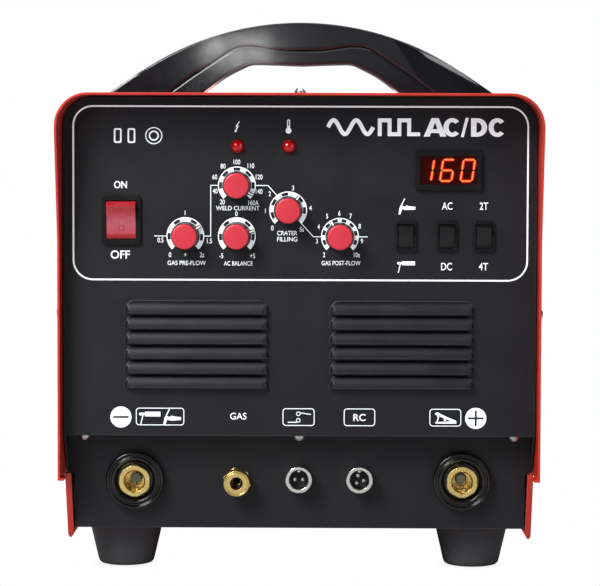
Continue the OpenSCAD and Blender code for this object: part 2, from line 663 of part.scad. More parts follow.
// plate with n fins hanging below it
module fins(w, length, h, n) {
  cube([w, length, 5]);
  for (i = [0:n - 1]) translate([i*(w - 2)/(n - 1), 0, -h]) cube([2, length, h + 1]);
}
module heatsinks() color("lightgray") for (x = [-125, 35])
  translate([x, -60, 186]) fins(w = 90, length = 190, h = 44, n = 12);
module main_transformer() color([0.35, 0.3, 0.25]) {
  core_z = floor_z + sheet + 3;
  difference() {
    box([-45, -60, core_z], [45, 20, 108]);
    box([-27, -61, 50], [-11, 21, 92]);
    box([11, -61, 50], [27, 21, 92]);
  }
  // windings through the core's two windows
  both_sides() difference() {
    box([11.2, -72, 50.2], [26.8, 32, 91.8]);
    box([11, -59, 49], [15, 19, 93]);
  }
  box([-40, -50, deck_z], [40, 10, core_z]);
}
module hf_coil() color([0.7, 0.35, 0.15]) translate([-95, -60, 0]) difference() {
  translate([0, 0, deck_z]) cylinder(r = 34, h = 36);
  translate([0, 0, 40]) cylinder(r = 15, h = 40);
}
module output_choke() color([0.4, 0.25, 0.15]) translate([85, -70, deck_z]) difference() {
  translate([-30, -34, 0]) cube([60, 68, 62]);
  translate([-14, -40, 16]) cube([28, 80, 30]);
}
module bus_capacitors() color([0.15, 0.2, 0.35]) for (x = [-80, -30, 20])
  translate([x, -66, board_top + 0.1]) cylinder(r = 17.5, h = 50);
module gas_valve() color([0.5, 0.5, 0.52]) {
  box([78, 114, deck_z], [122, 144, 74]);
  translate([100, 129, 70]) cylinder(r = 13, h = 46);
}
// a short hose from the inlet to the valve, and one from the valve round to the outlet
module gas_hoses() color([0.15, 0.15, 0.16]) {
  hose_r = 6;
  bore_r = 4.4;
  run = 188;                    // sideways run behind the connector panel
  bend_y = conn_y + 60;
  valve_y = 130;
  valve_x = 22.1 + 100;
  translate([GAS_INLET.x, 0, GAS_INLET.y]) difference() {
    rod_y(hose_r, 144.1, rear_y - 16);
    rod_y(bore_r, 143.1, rear_y - 15);
  }
  translate([GAS_OUTLET.x, 0, GAS_OUTLET.y]) difference() {
    union() {
      rod_y(hose_r, conn_y + 14, bend_y);
      for (p = [[0, bend_y], [run, bend_y], [run, valve_y]])
        translate([p.x, p.y, 0]) sphere(r = hose_r);
      translate([0, bend_y, 0]) rod_x(hose_r, 0, run);
      translate([run, 0, 0]) rod_y(hose_r, bend_y, valve_y);
      translate([0, valve_y, 0]) rod_x(hose_r, valve_x - GAS_OUTLET.x, run);
    }
    rod_y(bore_r, conn_y + 13, bend_y);
  }
}
module output_busbars() color([0.75, 0.42, 0.25]) for (x = weld_xs) difference() {
  bar_y = conn_y + 23.05;
  union() {
    box([x - 10, bar_y, sock_z - 10], [x + 10, conn_y + 26.1, 120]);
    box([x - 10, bar_y, 117], [x + 10, -110, 120]);
  }
  at_conn([x, sock_z]) rod_y(4.1, 0, 40);
}

module up() translate([0, 0, lift]) children();

up() cover();
up() base_tray();
up() front_panel();
up() connector_panel();
up() rear_panel();
up() handle_shell();
up() handle_liner();
up() feet();
up() m5_screws();
up() m4_screws();
up() power_switch_frame();
up() mode_switch_frames();
up() display_bezel();
up() display_lens();
up() display_module();
up() indicator_lamps();
up() weld_socket_collars();
up() weld_socket_bodies();
up() weld_socket_bolts();
up() panel_nuts();
up() gas_outlet();
up() control_socket_shells();
up() control_socket_inserts();
up() control_socket_pins();
up() fan_frame();
up() fan_rotor();
up() fan_guard();
up() power_cord();
up() cord_gland();
up() gas_inlet();
up() knob(KNOBS[0]);  // knob_current
up() knob(KNOBS[1]);  // knob_pre_gas
up() knob(KNOBS[2]);  // knob_balance
up() knob(KNOBS[3]);  // knob_crater
up() knob(KNOBS[4]);  // knob_post_gas
up() cap(KNOBS[0]);  // cap_current
up() cap(KNOBS[1]);  // cap_pre_gas
up() cap(KNOBS[2]);  // cap_balance
up() cap(KNOBS[3]);  // cap_crater
up() cap(KNOBS[4]);  // cap_post_gas
up() shaft(KNOBS[0]);  // shaft_current
up() shaft(KNOBS[1]);  // shaft_pre_gas
up() shaft(KNOBS[2]);  // shaft_balance
up() shaft(KNOBS[3]);  // shaft_crater
up() shaft(KNOBS[4]);  // shaft_post_gas
up() power_rocker();
up() mode_rocker(MODE_SWITCHES[0]);  // process_rocker
up() mode_rocker(MODE_SWITCHES[1]);  // polarity_rocker
up() mode_rocker(MODE_SWITCHES[2]);  // trigger_rocker
up() pot_bodies();
up() control_board();
up() power_board();
up() heatsinks();
up() main_transformer();
up() hf_coil();
up() output_choke();
up() bus_capacitors();
up() gas_valve();
up() gas_hoses();
up() output_busbars();
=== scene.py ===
"""Looks of a TIG welding machine, laid over its CAD frame.

Metres, +Z up. The front panel faces -Y and +X is to the right seen from the front.
The CAD pieces get materials and finishing modifiers. The panel print, knob pointers,
rocker marks, gas outlet liner and display digits are added as thin meshes.
"""
import bpy
import bmesh
import math
import random
from mathutils import Vector, Matrix
from mathutils.bvhtree import BVHTree

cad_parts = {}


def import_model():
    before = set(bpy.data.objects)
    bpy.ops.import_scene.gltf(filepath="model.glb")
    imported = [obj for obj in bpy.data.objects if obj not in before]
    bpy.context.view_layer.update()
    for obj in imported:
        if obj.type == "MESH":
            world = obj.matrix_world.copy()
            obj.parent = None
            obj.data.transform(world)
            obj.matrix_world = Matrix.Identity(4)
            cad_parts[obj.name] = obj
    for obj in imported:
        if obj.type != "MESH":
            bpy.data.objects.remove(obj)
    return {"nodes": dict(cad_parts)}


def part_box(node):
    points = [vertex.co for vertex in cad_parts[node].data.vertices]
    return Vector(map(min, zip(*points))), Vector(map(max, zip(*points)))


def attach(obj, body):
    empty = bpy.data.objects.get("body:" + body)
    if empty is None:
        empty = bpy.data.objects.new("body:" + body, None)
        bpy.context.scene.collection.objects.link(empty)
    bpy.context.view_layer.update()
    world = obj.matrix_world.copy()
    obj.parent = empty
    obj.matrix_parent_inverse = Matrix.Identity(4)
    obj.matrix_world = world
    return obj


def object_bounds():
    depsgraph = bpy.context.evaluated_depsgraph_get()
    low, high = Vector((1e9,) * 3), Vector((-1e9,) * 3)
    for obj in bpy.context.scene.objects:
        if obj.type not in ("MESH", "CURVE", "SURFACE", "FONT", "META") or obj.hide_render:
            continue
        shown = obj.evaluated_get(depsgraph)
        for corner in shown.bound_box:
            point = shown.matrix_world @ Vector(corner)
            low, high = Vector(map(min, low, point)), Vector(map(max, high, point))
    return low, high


random.seed(7)
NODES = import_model()["nodes"]
CAD_BOX = [list(v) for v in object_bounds()]
MM = 0.001
SCENE = bpy.context.scene
STAND_UP = Matrix.Rotation(math.pi / 2, 4, "X")  # turns an X-Y figure to face -Y


def middle(piece):
    low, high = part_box(piece)
    return (low + high) / 2


def by_piece(groups):
    """Turns {value: "piece piece"} into {piece: value}."""
    return {piece: value for value, pieces in groups.items() for piece in pieces.split()}


# ------------------------------------------------------------------ node builders
MATERIALS = {}


def srgb(*rgb):
    """Linear RGBA from 0-255 sRGB."""
    def linear(c):
        c = c / 255
        return c / 12.92 if c <= 0.04045 else ((c + 0.055) / 1.055) ** 2.4
    return (*(linear(c) for c in rgb), 1.0)


class Nodes:
    """Adds nodes to one tree."""

    def __init__(self, tree):
        self.tree = tree

    def feed(self, socket, value):
        """Links value if it is a socket, else stores it."""
        if isinstance(value, bpy.types.NodeSocket):
            self.tree.links.new(value, socket)
        else:
            socket.default_value = value

    def add(self, kind, inputs=None, **properties):
        node = self.tree.nodes.new(kind)
        for key, value in properties.items():
            setattr(node, key, value)
        for key, value in (inputs or {}).items():
            self.feed(node.inputs[key], value)
        return node

    def mix(self, factor, a, b):
        inputs = {"A": a, "B": b, "Factor": factor}
        return self.add("ShaderNodeMix", inputs, data_type="RGBA").outputs["Result"]


class Material(Nodes):
    """One material, built round its Principled shader."""

    def __init__(self, name, soften=None):
        material = bpy.data.materials.new(name)
        material.use_nodes = True
        MATERIALS[name] = material
        super().__init__(material.node_tree)
        self.shader = self.tree.nodes["Principled BSDF"]
        self.coords = self.add("ShaderNodeTexCoord").outputs["Object"]
        if soften:
            # hard edges are shaded as if rounded; bumps are laid over this
            self.set(Normal=self.bevel(soften, samples=6))

    def set(self, **inputs):
        """Sets or links Principled inputs; underscores stand for spaces."""
        for key, value in inputs.items():
            self.feed(self.shader.inputs[key.replace("_", " ")], value)

    def surface(self, shader):
        self.feed(self.tree.nodes["Material Output"].inputs["Surface"], shader)

    def noise(self, scale, detail=2.0, rough=0.5, stretch=None):
        vector = self.coords
        if stretch:
            inputs = {"Vector": vector, "Scale": stretch}
            vector = self.add("ShaderNodeMapping", inputs).outputs["Vector"]
        inputs = {"Scale": scale, "Detail": detail, "Roughness": rough, "Vector": vector}
        return self.add("ShaderNodeTexNoise", inputs).outputs["Fac"]

    def ramp(self, factor, stops):
        """Colour ramp through (position, colour) stops."""
        node = self.add("ShaderNodeValToRGB", {"Fac": factor})
        elements = node.color_ramp.elements
        while len(elements) < len(stops):
            elements.new(0.5)
        for element, (position, colour) in zip(elements, stops):
            element.position = position
            element.color = colour
        return node.outputs["Color"]

    def remap(self, value, low, high, start=0.3, end=0.7):
        """Maps start..end to low..high; the defaults span the usual range of a noise."""
        inputs = {"From Min": start, "From Max": end, "To Min": low, "To Max": high,
                  "Value": value}
        return self.add("ShaderNodeMapRange", inputs).outputs["Result"]

    def bump(self, height, distance, strength=1.0):
        """Lays a bump over whatever already drives the normal."""
        inputs = {"Distance": distance, "Strength": strength, "Height": height}
        links = self.shader.inputs["Normal"].links
        if links:
            inputs["Normal"] = links[0].from_socket
        self.set(Normal=self.add("ShaderNodeBump", inputs).outputs["Normal"])

    def bevel(self, radius, samples):
        return self.add("ShaderNodeBevel", {"Radius": radius}, samples=samples).outputs["Normal"]

    def edges(self, radius):
        """1 near a sharp edge, 0 on a face."""
        normal = self.add("ShaderNodeNewGeometry").outputs["Normal"]
        inputs = {0: self.bevel(radius, samples=4), 1: normal}
        dot = self.add("ShaderNodeVectorMath", inputs, operation="DOT_PRODUCT")
        return self.remap(dot.outputs["Value"], 1.0, 0.0, start=0.75, end=0.995)


# ------------------------------------------------------------------ kinds of material
def coated(name, base, dark, light, rough, grain=1500, bump=0.00004, spec=0.5, coat=0.0,
           edge=0.0007, edge_sheen_and_wear=(0.1, 0.6)):
    """Coated sheet metal: fine orange peel, faint blotches, and edges painted lighter: a painted
    highlight along them, mixed with paint worn by rubbing.
    """
    m = Material(name, soften=edge)
    blotches = m.remap(m.noise(scale=9, detail=3), 0.0, 1.0)
    paint = m.mix(blotches, srgb(*dark), srgb(*base))
    # edges painted lighter in patches: painted highlight along them, mixed with paint worn by
    # rubbing
    patches = m.remap(m.noise(scale=260, detail=4), *edge_sheen_and_wear, start=0.35, end=0.65)
    inputs = {0: m.edges(edge + 0.0002), 1: patches}
    edge_sheen_and_rub = m.add("ShaderNodeMath", inputs, operation="MULTIPLY").outputs[0]
    m.bump(m.noise(scale=grain, rough=0.6), bump)
    m.bump(m.noise(scale=grain / 7, detail=1), bump * 0.8)
    m.set(Base_Color=m.mix(edge_sheen_and_rub, paint, srgb(*light)),
          Roughness=m.remap(m.noise(scale=40, detail=4), rough - 0.05, rough + 0.06),
          Specular_IOR_Level=spec, Coat_Weight=coat, Coat_Roughness=0.2)


def moulded(name, base, light, rough, grain=2600, bump=0.00003, spec=0.5, coat=0.0,
            glow_depth=0.0, edge=0.0005):
    """Moulded plastic or rubber: fine grain, small tone changes, some light let in."""
    m = Material(name, soften=edge)
    m.bump(m.noise(scale=grain, detail=3, rough=0.65), bump)
    tone = m.remap(m.noise(scale=30, detail=3), 0.0, 1.0)
    m.set(Base_Color=m.mix(tone, srgb(*base), srgb(*light)),
          Roughness=m.remap(m.noise(scale=120, detail=4), rough - 0.04, rough + 0.05),
          Specular_IOR_Level=spec, Coat_Weight=coat, Coat_Roughness=0.06)
    if glow_depth:
        m.set(Subsurface_Weight=glow_depth, Subsurface_Radius=(0.004, 0.001, 0.001),
              Subsurface_Scale=1.0)


def metal(name, base, dark, rough, lines=(1, 1, 1), scale=900, bump=0.00002, tarnish=0.35):
    """Bare or plated metal with machining lines and light tarnish."""
    m = Material(name, soften=0.0003)
    stain = m.remap(m.noise(scale=70, detail=5, rough=0.6), 0.0, tarnish, start=0.45, end=0.75)
    grooves = m.noise(scale=scale, detail=3, rough=0.6, stretch=lines)
    m.bump(grooves, bump)
    m.set(Base_Color=m.mix(stain, srgb(*base), srgb(*dark)),
          Roughness=m.remap(grooves, rough - 0.07, rough + 0.1), Metallic=1.0)


def ink(name, colour, rough=0.5, glow=0.0):
    """Flat print; colour is linear RGBA. With glow the print gives off light of its own colour:
    painted light.
    """
    m = Material(name)
    faded = tuple(c * 0.86 for c in colour[:3]) + (1,)
    m.bump(m.noise(scale=2200), 0.00001)
    m.set(Base_Color=m.mix(m.remap(m.noise(scale=900, detail=3), 0.0, 0.5), colour, faded),
          Roughness=m.remap(m.noise(scale=500), rough - 0.05, rough + 0.05))
    if glow:
        m.set(Emission_Color=colour, Emission_Strength=glow)


def glow(name, dim, bright, power):
    """Glowing surface that wanders between two linear colours."""
    m = Material(name)
    light = m.ramp(m.noise(scale=600, detail=1), [(0.3, (*dim, 1)), (0.7, (*bright, 1))])
    m.set(Emission_Color=light, Emission_Strength=power, Base_Color=(0.6, 0.06, 0.02, 1),
          Roughness=0.5)


def rocker_red():
    """Translucent red lens of the mains switch: paler in the middle from a painted sheen, darker
    at its foot from painted shade.
    """
    m = Material("rocker_red", soften=0.0006)
    low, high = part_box("power_rocker")
    height = m.add("ShaderNodeSeparateXYZ", {0: m.coords}).outputs["Z"]
    # colour by height: painted sheen in the pale middle band, painted shade at the dark foot
    body = m.ramp(m.remap(height, 0.0, 1.0, start=low.z, end=high.z), [
        (0.0, srgb(128, 10, 18)), (0.10, srgb(150, 14, 26)), (0.17, srgb(176, 66, 84)),
        (0.42, srgb(178, 84, 102)), (0.60, srgb(172, 62, 78)), (0.76, srgb(164, 26, 38)),
        (1.0, srgb(176, 34, 46))])
    streaks = m.remap(m.noise(scale=900, detail=3, rough=0.6, stretch=(1, 1, 0.03)), 0.0, 0.5)
    m.bump(m.noise(scale=1500), 0.00002)
    m.set(Base_Color=m.mix(streaks, body, srgb(150, 24, 38)),
          Roughness=m.remap(m.noise(scale=120, detail=4), 0.24, 0.34),
          Coat_Weight=0.3, Coat_Roughness=0.08, Subsurface_Weight=0.12,
          Subsurface_Radius=(0.004, 0.001, 0.001), Subsurface_Scale=1.0)


def board_green():
    m = Material("board_green")
    tracks = m.add("ShaderNodeTexBrick", {
        "Scale": 60, "Color1": srgb(22, 92, 52), "Color2": srgb(26, 104, 60),
        "Mortar": srgb(52, 138, 84), "Mortar Size": 0.03, "Vector": m.coords})
    m.set(Base_Color=tracks.outputs["Color"],
          Roughness=m.remap(m.noise(scale=300, detail=3), 0.25, 0.45))


def winding_copper():
    """Turns of lacquered wire, stacked along Z."""
    m = Material("winding_copper")
    inputs = {"Scale": 190, "Distortion": 0.6, "Vector": m.coords}
    turns = m.add("ShaderNodeTexWave", inputs, wave_type="BANDS",
                  bands_direction="Z").outputs["Fac"]
    m.bump(turns, 0.0004)
    m.set(Base_Color=m.ramp(turns, [(0.0, srgb(78, 30, 14)), (0.6, srgb(170, 84, 40)),
                                    (1.0, srgb(214, 128, 74))]),
          Roughness=0.3, Coat_Weight=0.4)


def display_window():
    """Clear red plastic: tints what passes through, mirrors at a grazing angle."""
    m = Material("display_window")
    tint = (0.92, 0.27, 0.20, 1)
    m.bump(m.noise(scale=180), 0.00001)
    m.set(Base_Color=(*(c * 0.2 for c in tint[:3]), 1), Roughness=0.05,
          Specular_IOR_Level=0.6)
    clear = m.add("ShaderNodeBsdfTransparent", {"Color": tint}).outputs[0]
    grazing = m.add("ShaderNodeFresnel", {"IOR": 1.45}).outputs["Fac"]
    base_reflection = 0.02
    mirror = m.add("ShaderNodeMath", {0: grazing, 1: base_reflection},
                   operation="ADD", use_clamp=True).outputs[0]
    inputs = {"Fac": mirror, 1: clear, 2: m.shader.outputs[0]}
    m.surface(m.add("ShaderNodeMixShader", inputs).outputs[0])


def digit_face():
    """Near-black red behind the digits, with a faint painted red glow as of light spilled from
    the lit digits.
    """
    m = Material("digit_face")
    tone = m.remap(m.noise(scale=60), 0, 1)
    # the faint red emission is painted light, as if spilled from the lit digits
    m.set(Base_Color=m.mix(tone, (0.010, 0.001, 0.001, 1), (0.016, 0.001, 0.001, 1)),
          Roughness=0.5, Emission_Color=(0.5, 0.004, 0.0, 1), Emission_Strength=0.035)


def lamp_red():
    """Pebbled red lens, painted darker towards its rim where it turns from the camera: painted
    shade.
    """
    m = Material("lamp_red")
    # the ramp below darkens the lens as its face turns from the camera: painted shade towards
    # the rim
    facing = m.add("ShaderNodeLayerWeight", {"Blend": 0.35}).outputs["Facing"]
    pebbles = m.add("ShaderNodeTexVoronoi", {"Scale": 700, "Vector": m.coords})
    m.bump(pebbles.outputs["Distance"], 0.0003, strength=0.5)
    m.set(Base_Color=m.ramp(facing, [(0.0, srgb(168, 4, 6)), (0.45, srgb(104, 0, 4)),
                                     (1.0, srgb(34, 0, 2))]),
          Roughness=0.18, Coat_Weight=0.35, Coat_Roughness=0.08, Specular_IOR_Level=0.4,
          Emission_Color=(0.5, 0.0, 0.0, 1), Emission_Strength=0.05)


# ------------------------------------------------------------------ the materials
# the light colour goes on along the cover's edges: painted highlight, mixed with paint worn by
# rubbing
coated("powder_red", base=(190, 35, 17), dark=(176, 29, 14), light=(214, 104, 84),
       rough=0.38, grain=1300, bump=0.00005, coat=0.2)
# the light colour goes on along the panel edges and lip: painted highlight, mixed with paint
# worn by rubbing
coated("powder_black", base=(19, 18, 23), dark=(16, 15, 20), light=(84, 82, 87),
       rough=0.44, grain=1700, spec=0.34, edge=0.0011, edge_sheen_and_wear=(0.45, 0.9))
moulded("handle_gloss", base=(9, 9, 15), light=(12, 12, 19), rough=0.12, grain=60,
        bump=0.00004, coat=0.8, spec=0.55, edge=0.0030)
moulded("foot_rubber", base=(52, 52, 55), light=(62, 62, 65), rough=0.62, grain=2200,
        bump=0.00006, spec=0.35)
moulded("switch_black", base=(11, 11, 13), light=(15, 15, 17), rough=0.36, spec=0.22,
        edge=0.0008)
moulded("knob_black", base=(20, 20, 22), light=(26, 26, 28), rough=0.34)
moulded("cap_red", base=(198, 44, 60), light=(190, 39, 54), rough=0.42, grain=1800,
        bump=0.00004, glow_depth=0.12)
rocker_red()
moulded("rocker_black", base=(13, 13, 15), light=(18, 18, 20), rough=0.3, spec=0.3,
        edge=0.0009)
moulded("collar_gloss", base=(7, 7, 9), light=(10, 10, 12), rough=0.14, grain=700,
        bump=0.00001, spec=0.35, coat=0.25)
moulded("insert_black", base=(9, 8, 8), light=(13, 12, 12), rough=0.5, spec=0.3)
moulded("cord_rubber", base=(24, 24, 26), light=(32, 32, 34), rough=0.55, grain=1600,
        bump=0.00005)
moulded("fan_plastic", base=(28, 28, 30), light=(34, 34, 36), rough=0.45)
moulded("hose_rubber", base=(22, 22, 24), light=(30, 30, 32), rough=0.5)
metal("bolt_steel", base=(128, 130, 116), dark=(84, 82, 70), rough=0.34, scale=500,
      tarnish=0.6)
# dark red-brown for the liner in the gas outlet's bore
moulded("liner_red_brown", base=(58, 18, 8), light=(80, 28, 14), rough=0.32, grain=900,
        bump=0.00002, spec=0.6, coat=0.3)
metal("zinc_steel", base=(200, 200, 196), dark=(140, 138, 132), rough=0.28, lines=(1, 1, 6))
metal("chrome", base=(222, 222, 216), dark=(178, 174, 166), rough=0.12, lines=(1, 8, 1),
      scale=500, bump=0.000008, tarnish=0.2)
metal("brass", base=(238, 211, 134), dark=(210, 174, 98), rough=0.24, lines=(1, 9, 1),
      scale=700, bump=0.000003)
metal("heatsink_aluminium", base=(205, 207, 210), dark=(160, 162, 165), rough=0.35,
      lines=(1, 0.05, 1), scale=1200)
metal("copper_bar", base=(214, 130, 92), dark=(140, 74, 50), rough=0.3, lines=(1, 1, 0.1))
metal("pot_steel", base=(150, 152, 155), dark=(110, 112, 116), rough=0.35)
coated("valve_coat", base=(120, 122, 128), dark=(108, 110, 116), light=(170, 172, 178),
       rough=0.4)
moulded("ferrite_core", base=(58, 56, 54), light=(72, 70, 66), rough=0.6, grain=900,
        bump=0.0001)
moulded("capacitor_sleeve", base=(32, 48, 96), light=(38, 54, 104), rough=0.3, grain=600,
        bump=0.00001)
display_window()
# the white print glows: painted light that makes it brighter than the lamps alone
ink("print_white", srgb(232, 237, 241), glow=0.32)
ink("print_black", srgb(16, 18, 20), rough=0.4)
glow("digit_glow", dim=(1.0, 0.26, 0.20), bright=(1.0, 0.32, 0.24), power=1.2)
glow("digit_core", dim=(1.0, 3.3, 1.6), bright=(1.0, 3.6, 1.8), power=1.6)
glow("digit_halo", dim=(0.30, 0.012, 0.008), bright=(0.36, 0.014, 0.010), power=1.0)
digit_face()
lamp_red()
board_green()
winding_copper()

# ------------------------------------------------------------------ dial design
# turn: pointer angle; windows: middles of the dark windows in the pale band, each
# reaching half_window to either side; all in degrees clockwise from the top.
# numbers: (label, x, z) from the dial's middle, in mm.
DIALS = {
    "current": dict(
        turn=121, windows=[-90, -45, 0, 45, 90], half_window=11.5,
        numbers=[("20", -9.7, -11.2), ("40", -14.5, -4.0), ("60", -14.7, 5.4),
                 ("80", -9.2, 12.6), ("100", 0.0, 15.4), ("110", 9.3, 12.9),
                 ("120", 14.8, 5.5), ("140", 14.8, -4.2), ("160A", 11.1, -11.7)]),
    "pre_gas": dict(
        turn=56, windows=[-91, -31, 31, 94], half_window=11.5,
        numbers=[("0", -10.2, -12.7), ("0.5", -16.6, -2.9), ("1", -0.2, 15.3),
                 ("1.5", 16.1, -3.4), ("2s", 11.1, -12.7), ("+", 0.0, -12.7)]),
    "balance": dict(
        turn=72, windows=[-93, -40, 42, 93], half_window=11.5,
        numbers=[("0", -0.3, 14.8), ("-5", -10.3, -13.3), ("+5", 10.5, -13.3)]),
    "crater": dict(
        turn=38, windows=[-108, -61, -12, 48, 90], half_window=11.5,
        numbers=[("0", -10.5, -12.0), ("1", -15.2, -0.6), ("2", -12.3, 10.8),
                 ("3", 3.2, 14.7), ("4", 14.8, 1.4), ("5s", 9.1, -12.8)]),
    "post_gas": dict(
        turn=-30, windows=[-110, -76, -48, -16, 14, 45, 77, 110], half_window=8.5,
        numbers=[("2", -10.6, -12.2), ("3", -15.3, -3.1), ("4", -14.2, 6.4),
                 ("5", -8.6, 13.5), ("6", -0.4, 15.5), ("7", 7.1, 13.6),
                 ("8", 13.1, 6.9), ("9", 14.6, -3.1), ("10s", 11.3, -12.2)]),
}
# (caption, dial, x and z from the dial's middle, width), in mm
CAPTIONS = [
    ("WELD CURRENT", "current", 0.6, -15.3, 29.0), ("GAS PRE-FLOW", "pre_gas", 0.9, -18.1, 25.5),
    ("AC BALANCE", "balance", 1.0, -18.3, 19.2), ("CRATER", "crater", -0.6, -15.3, 13.4),
    ("FILLING", "crater", -0.6, -19.4, 13.4), ("GAS POST-FLOW", "post_gas", 0.8, -17.7, 26.0),
]

# ------------------------------------------------------------------ materials on the pieces
LOOKS = by_piece({
    "powder_red": "cover base_tray",
    "powder_black": "front_panel connector_panel rear_panel",
    "handle_gloss": "handle_shell handle_liner",
    "foot_rubber": "feet",
    "zinc_steel": "m5_screws m4_screws control_socket_pins",
    "switch_black": "power_switch_frame mode_switch_frames display_bezel",
    "display_window": "display_lens",
    "digit_face": "display_module",
    "lamp_red": "indicator_lamps",
    "collar_gloss": "weld_socket_collars",
    "brass": "weld_socket_bodies panel_nuts gas_outlet gas_inlet",
    "bolt_steel": "weld_socket_bolts",
    "chrome": "control_socket_shells fan_guard",
    "insert_black": "control_socket_inserts cord_gland",
    "fan_plastic": "fan_frame fan_rotor",
    "cord_rubber": "power_cord",
    "rocker_red": "power_rocker",
    "rocker_black": "process_rocker polarity_rocker trigger_rocker",
    "pot_steel": "pot_bodies",
    "board_green": "control_board",
    "heatsink_aluminium": "heatsinks",
    "ferrite_core": "main_transformer output_choke",
    "winding_copper": "hf_coil",
    "capacitor_sleeve": "bus_capacitors",
    "valve_coat": "gas_valve",
    "hose_rubber": "gas_hoses",
    "copper_bar": "output_busbars",
})
for dial in DIALS:
    LOOKS.update({"knob_" + dial: "knob_black", "cap_" + dial: "cap_red",
                  "shaft_" + dial: "zinc_steel"})
piece_materials = {piece: MATERIALS[name] for piece, name in LOOKS.items()}
piece_materials["power_board"] = bpy.data.materials["board_green"]
for piece, obj in NODES.items():
    obj.data.materials.clear()
    obj.data.materials.append(piece_materials[piece])
    for polygon in obj.data.polygons:
        polygon.material_index = 0

# ------------------------------------------------------------------ finishing modifiers
UNDISSOLVED = ("cover", "base_tray", "front_panel", "connector_panel", "rear_panel")
# (bevel width, segments): pieces; the rest get no bevel
BEVELS = by_piece({
    (0.0002, 1): "heatsinks",
    (0.0002, 2): "m4_screws m5_screws",
    (0.0003, 1): "fan_rotor panel_nuts",
    (0.0003, 2): "display_lens gas_outlet control_socket_shells",
    (0.0004, 2): "weld_socket_bodies gas_inlet",
    (0.0004, 3): "weld_socket_collars",
    (0.0005, 2): "cord_gland",
    (0.0005, 3): "mode_switch_frames process_rocker polarity_rocker trigger_rocker",
    (0.0006, 2): "feet fan_frame gas_valve",
    (0.0006, 3): "power_switch_frame display_bezel",
    (0.0007, 3): "power_rocker",
    (0.0008, 2): "main_transformer output_choke",
})


def smooth_group():
    """Geometry nodes that shade smooth, but keep edges over 34 degrees sharp."""
    group = bpy.data.node_groups.new("smooth_by_angle", "GeometryNodeTree")
    for direction in ("INPUT", "OUTPUT"):
        group.interface.new_socket("Geometry", in_out=direction,
                                   socket_type="NodeSocketGeometry")
    nodes = Nodes(group)
    source = nodes.add("NodeGroupInput").outputs[0]
    angle = nodes.add("GeometryNodeInputMeshEdgeAngle").outputs["Unsigned Angle"]
    sharp = nodes.add("FunctionNodeCompare", {"A": angle, "B": math.radians(34)},
                      operation="GREATER_THAN").outputs["Result"]
    smoothed = nodes.add("GeometryNodeSetShadeSmooth", {"Geometry": source},
                         domain="FACE").outputs[0]
    inputs = {"Geometry": smoothed, "Selection": sharp, "Shade Smooth": False}
    creased = nodes.add("GeometryNodeSetShadeSmooth", inputs, domain="EDGE").outputs[0]
    nodes.add("NodeGroupOutput", {0: creased})
    return group


SMOOTH = smooth_group()


def finish_edges(obj, width, segments, dissolve):
    """Merges corners, dissolves flat seams, bevels, then shades by area."""
    weld = obj.modifiers.new("weld", "WELD")
    weld.merge_threshold = 2e-6
    if dissolve:
        flats = obj.modifiers.new("flats", "DECIMATE")
        flats.decimate_type = "DISSOLVE"
        flats.angle_limit = math.radians(0.4)
        flats.delimit = set()
    if width:
        bevel = obj.modifiers.new("round", "BEVEL")
        bevel.width = width
        bevel.segments = segments
        bevel.limit_method = "ANGLE"
        bevel.angle_limit = math.radians(32)
        bevel.use_clamp_overlap = True
        bevel.miter_outer = "MITER_ARC"
    obj.modifiers.new("smooth", "NODES").node_group = SMOOTH
    normals = obj.modifiers.new("normals", "WEIGHTED_NORMAL")
    normals.keep_sharp = True
    normals.weight = 60


for piece, obj in NODES.items():
    finish_edges(obj, *BEVELS.get(piece, (0.0, 0)), dissolve=piece not in UNDISSOLVED)


# ------------------------------------------------------------------ flat outlines
# Each returns one closed loop of (x, y) points.
def circle(radius, count=48, x=0.0, y=0.0):
    angles = [2 * math.pi * i / count for i in range(count)]
    return [(x + radius * math.cos(t), y + radius * math.sin(t)) for t in angles]


def sector(inner, outer, start, end, steps):
    """Ring sector; angles clockwise from the top, in degrees."""
    def point(radius, angle):
        return radius * math.sin(math.radians(angle)), radius * math.cos(math.radians(angle))
    return ([point(outer, start + (end - start) * i / steps) for i in range(steps + 1)]
            + [point(inner, end - (end - start) * i / steps) for i in range(steps + 1)])


def rounded_rect(width, height, radius, steps, x=0.0, y=0.0):
    points = []
    for side_x, side_y, start in ((1, 1, 0), (-1, 1, 90), (-1, -1, 180), (1, -1, 270)):
        for i in range(steps + 1):
            t = math.radians(start + 90 * i / steps)
            points.append((x + side_x * (width / 2 - radius) + radius * math.cos(t),
                           y + side_y * (height / 2 - radius) + radius * math.sin(t)))
    return points


def stroke(points, width):
    """Outline of an open polyline, with mitred corners."""
    points = [Vector(p) for p in points]
    left, right = [], []
    for i, p in enumerate(points):
        before = (p - points[i - 1]).normalized() if i else None
        after = (points[i + 1] - p).normalized() if i < len(points) - 1 else None
        along = ((before or after) + (after or before)).normalized()
        across = Vector((-along.y, along.x))
        side = after or before
        reach = (width / 2) / max(0.3, across.dot(Vector((-side.y, side.x))))
        left.append(p + across * reach)
        right.append(p - across * reach)
    return [tuple(p) for p in left + right[::-1]]


def arc(x, y, radius_x, radius_y, start, end, steps=24):
    angles = [math.radians(start + (end - start) * i / steps) for i in range(steps + 1)]
    return [(x + radius_x * math.cos(t), y + radius_y * math.sin(t)) for t in angles]


def rect_frame(width, height, line, outer_radius, inner_radius, steps):
    """Two loops: a rounded rectangle's border."""
    return [rounded_rect(width, height, outer_radius, steps),
            rounded_rect(width - 2 * line, height - 2 * line, inner_radius, steps)]


# ------------------------------------------------------------------ mesh helpers
def add_object(name, mesh, material, body):
    obj = bpy.data.objects.new(name, mesh)
    SCENE.collection.objects.link(obj)
    mesh.materials.append(MATERIALS[material])
    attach(obj, body)


